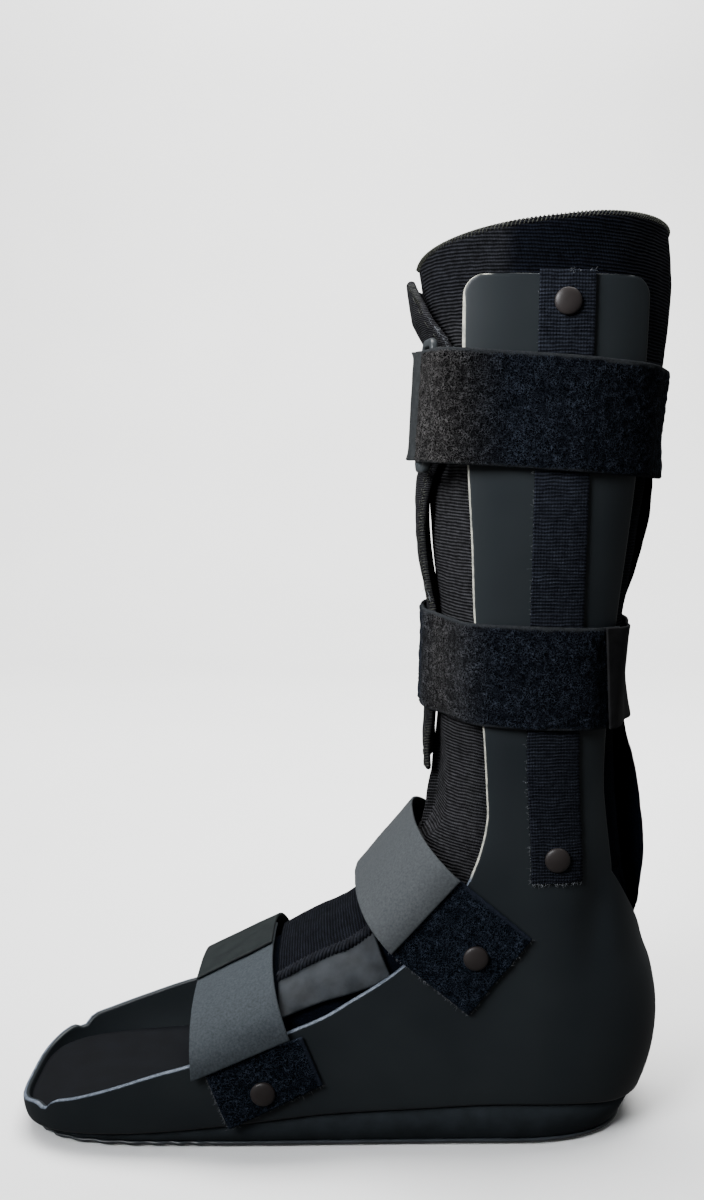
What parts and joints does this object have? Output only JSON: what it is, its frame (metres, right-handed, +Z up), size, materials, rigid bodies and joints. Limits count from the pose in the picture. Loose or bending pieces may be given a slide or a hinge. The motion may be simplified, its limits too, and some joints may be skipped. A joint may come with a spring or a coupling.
{
  "type": "medical walking boot",
  "caption": "Tall orthopaedic walking boot: moulded shell with two uprights and an open toe, rocker sole, padded liner and wrapped pile and hook straps.",
  "frame": {"origin": "on the floor, midway along and across the boot", "axes": "+Z up, -X towards the toe, -Y the near side, whose ankle and calf straps start there"},
  "size_m": [0.327, 0.1453, 0.4471],
  "materials": {
    "shell_plastic": "satin moulded",
    "insole_foam": "smooth sheet",
    "block_foam": "matt moulded foam",
    "outsole_rubber": "glossy, fine tread",
    "liner_knit": "ribbed knit on foam",
    "flap_knit": "fine knit, overlocked edge",
    "smooth_fabric": "smooth laminated fabric",
    "pile": "loop pile",
    "hook_tab": "smooth hook tab",
    "strip_tape": "ribbed loop tape",
    "ring_plastic": "smooth moulded",
    "rivet_metal": "domed, dark satin paint"
  },
  "bodies": {
    "root": {"shell": "shell_plastic", "outsole": "outsole_rubber", "sole_block": "block_foam", "insole": "insole_foam", "liner": "liner_knit", "front_flap": "flap_knit", "tongue": "liner_knit", "instep_flap": "smooth_fabric", "calf_strap_upper": "pile", "calf_ring": "ring_plastic", "calf_tab_upper": "hook_tab", "calf_strap_lower": "pile", "calf_tab_lower": "hook_tab", "ankle_tab": "hook_tab", "forefoot_tab": "hook_tab", "forefoot_strap": "smooth_fabric", "ankle_patch_near": "pile", "forefoot_patch_near": "pile", "side_strip_near": "strip_tape", "strip_top_rivet_near": "rivet_metal", "strip_foot_rivet_near": "rivet_metal", "ankle_rivet_near": "rivet_metal", "forefoot_rivet_near": "rivet_metal", "ankle_patch_far": "pile", "forefoot_patch_far": "pile", "side_strip_far": "strip_tape", "strip_top_rivet_far": "rivet_metal", "strip_foot_rivet_far": "rivet_metal", "ankle_rivet_far": "rivet_metal", "forefoot_rivet_far": "rivet_metal"}
  },
  "joints": []
}
